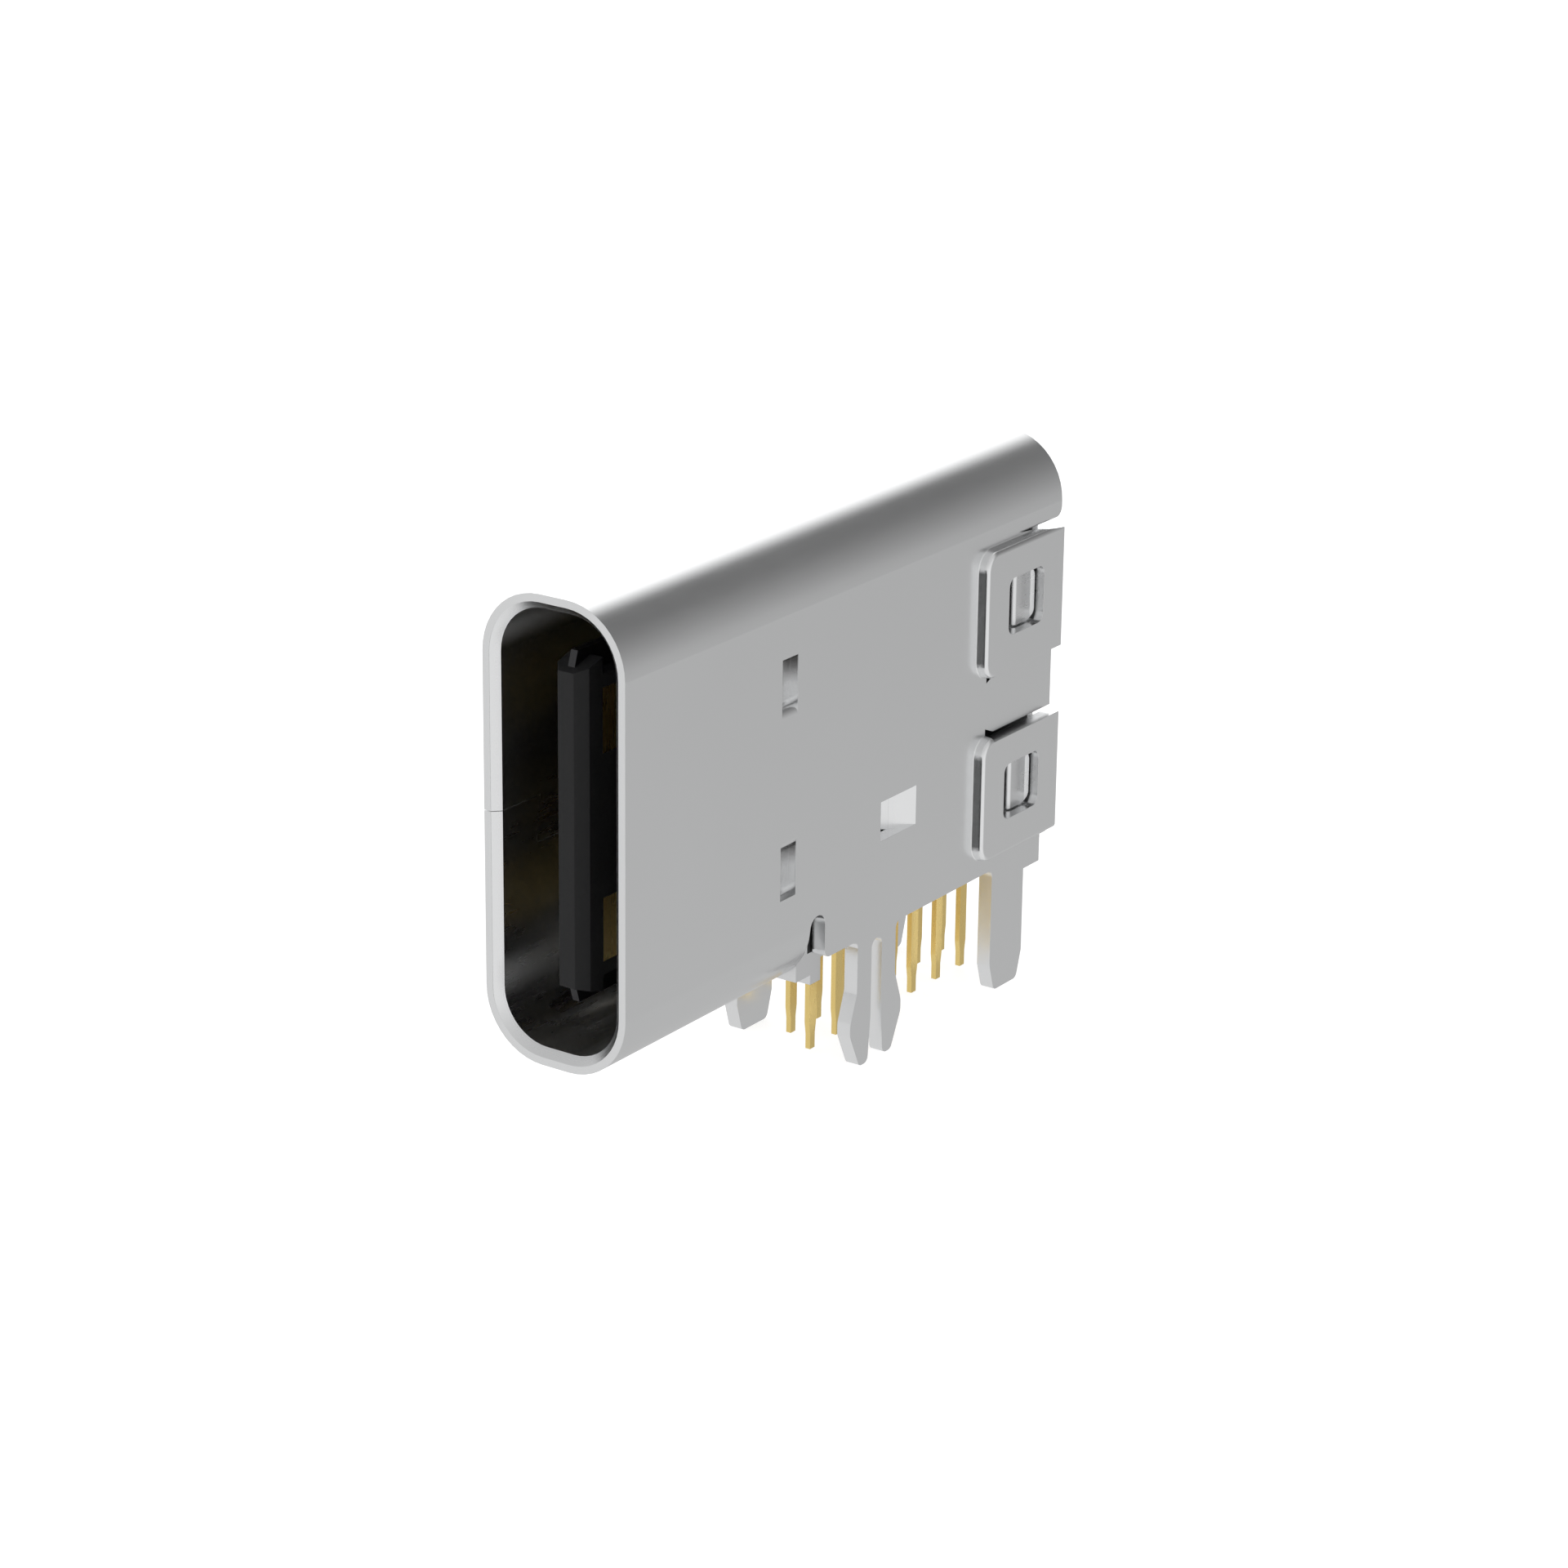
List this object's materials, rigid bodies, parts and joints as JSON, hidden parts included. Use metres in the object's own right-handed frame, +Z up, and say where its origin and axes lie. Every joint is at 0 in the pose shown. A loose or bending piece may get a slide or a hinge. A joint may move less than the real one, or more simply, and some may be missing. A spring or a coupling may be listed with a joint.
{
  "type": "usb-c socket",
  "caption": "Upright edge-standing board socket with a rolled steel shell, black tongue, latched rear cover, kinked board-lock legs and two staggered rows of gold tails.",
  "frame": {"origin": "middle of the seat face of the front foot, on the board's top surface, halfway through the socket's thickness", "axes": "+Z up from the board, the mouth faces -Y, +X across the thickness towards the forked leg"},
  "size_m": [0.0036, 0.0145, 0.0111],
  "materials": {
    "shell_steel": "satin nickel plate",
    "cover_steel": "satin nickel plate",
    "housing_black": "fine moulded",
    "carrier_black": "fine moulded",
    "organizer_grey": "smooth moulded",
    "plate_steel": "dull blackened steel",
    "shield_steel": "dull rolled steel",
    "contact_gold": "gold flash"
  },
  "bodies": {
    "root": {"outer_shell": "shell_steel", "rear_cover": "cover_steel", "housing": "housing_black", "carrier_a": "carrier_black", "carrier_b": "carrier_black", "tail_organizer": "organizer_grey", "mid_plate": "plate_steel", "emi_plate_a": "shield_steel", "emi_plate_b": "shield_steel", "contact_a1": "contact_gold", "contact_a2": "contact_gold", "contact_a3": "contact_gold", "contact_a4": "contact_gold", "contact_a5": "contact_gold", "contact_b1": "contact_gold", "contact_b2": "contact_gold", "contact_b3": "contact_gold", "contact_b4": "contact_gold", "contact_b5": "contact_gold"}
  },
  "joints": []
}
